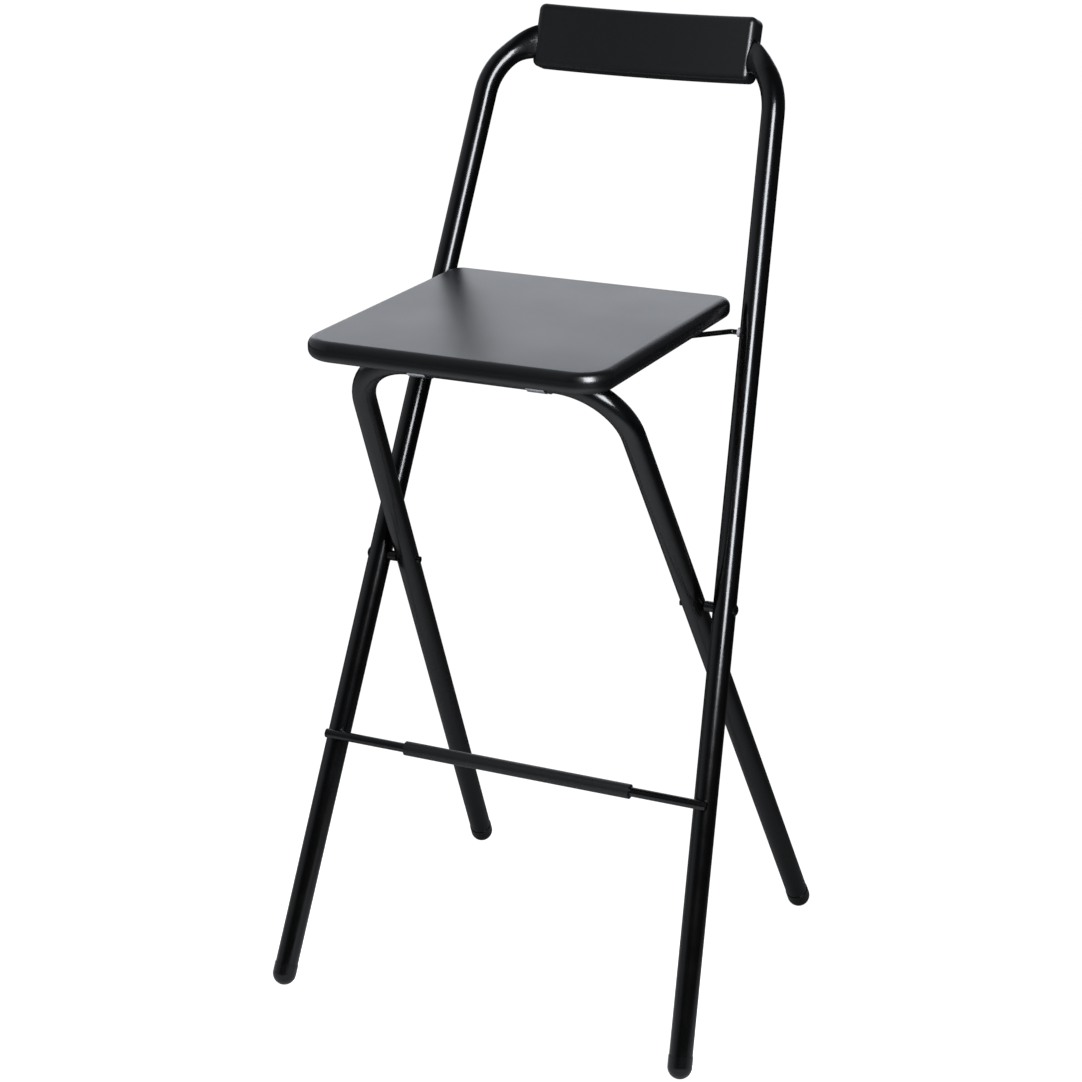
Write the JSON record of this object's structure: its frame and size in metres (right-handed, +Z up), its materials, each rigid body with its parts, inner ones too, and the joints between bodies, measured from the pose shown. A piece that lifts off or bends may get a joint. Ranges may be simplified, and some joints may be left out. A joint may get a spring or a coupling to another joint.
{
  "type": "folding bar stool",
  "caption": "Folding bar stool with a square seat, a small curved backrest and a footrest bar, on crossed round-tube frames that fold flat.",
  "frame": {"origin": "on the floor, at the middle of the outer box seen from above", "axes": "+X to the sitter's left as seen from the front, that is to the right in a front view; +Y to the rear, from the seat's front edge to the backrest; +Z up"},
  "size_m": [0.4436, 0.4666, 0.9224],
  "materials": {
    "black_coated_tube": "gloss black powder coat on round steel tube",
    "black_coated_rivet": "black coated steel",
    "black_wire": "black coated steel wire",
    "black_plastic": "satin black moulded plastic",
    "grey_plastic": "grey nylon bush",
    "black_sleeve": "satin black plastic sleeve",
    "backrest_plastic": "satin black moulded plastic with a fine grain",
    "board_core": "raw pressed wood fibre board",
    "seat_film": "black vinyl film, fine grained on top and smooth at the edges",
    "zinc_steel": "bright zinc plated steel"
  },
  "bodies": {
    "back_frame": {"back_frame_tube": "black_coated_tube", "backrest_front_shell": "backrest_plastic", "backrest_rear_shell": "backrest_plastic", "backrest_screw_left": "zinc_steel", "backrest_screw_right": "zinc_steel", "footrest_rod": "black_coated_tube", "footrest_sleeve": "black_sleeve", "front_foot_left": "black_plastic", "front_foot_right": "black_plastic", "link_bush_left": "grey_plastic", "link_bush_right": "grey_plastic", "pivot_rivet_left": "black_coated_rivet", "pivot_rivet_right": "black_coated_rivet", "pivot_spacer_left": "black_plastic", "pivot_spacer_right": "black_plastic"},
    "leg_frame": {"leg_frame_tube": "black_coated_tube", "rear_foot_left": "black_plastic", "rear_foot_right": "black_plastic", "stop_pin_left": "black_coated_rivet", "stop_pin_right": "black_coated_rivet"},
    "seat": {"link_clip_left": "zinc_steel", "link_clip_right": "zinc_steel", "link_clip_screw_left_front": "zinc_steel", "link_clip_screw_left_rear": "zinc_steel", "link_clip_screw_right_front": "zinc_steel", "link_clip_screw_right_rear": "zinc_steel", "saddle_screw_left_front": "zinc_steel", "saddle_screw_left_rear": "zinc_steel", "saddle_screw_right_front": "zinc_steel", "saddle_screw_right_rear": "zinc_steel", "seat_board": "board_core", "seat_cover": "seat_film", "seat_saddle_left": "zinc_steel", "seat_saddle_right": "zinc_steel"},
    "link": {"seat_link": "black_wire"}
  },
  "joints": [
    {"name": "leg_fold", "type": "hinge", "parent": "back_frame", "child": "leg_frame", "pos_m": [0, -0.01536, 0.4055], "axis": [-1, 0, 0], "range_deg": [0, 51.85]},
    {"name": "seat_fold", "type": "hinge", "parent": "leg_frame", "child": "seat", "pos_m": [0, -0.15901, 0.64459], "axis": [1, 0, 0], "range_deg": [0, 119.26]},
    {"name": "link_fold", "type": "hinge", "parent": "seat", "child": "link", "pos_m": [0, -0.05117, 0.65653], "axis": [-1, 0, 0], "range_deg": [0, 169.08]}
  ],
  "couplings": [
    {"joint": "seat_fold", "follows": "leg_fold", "ratio": 2.2998},
    {"joint": "link_fold", "follows": "leg_fold", "ratio": 3.2606}
  ]
}
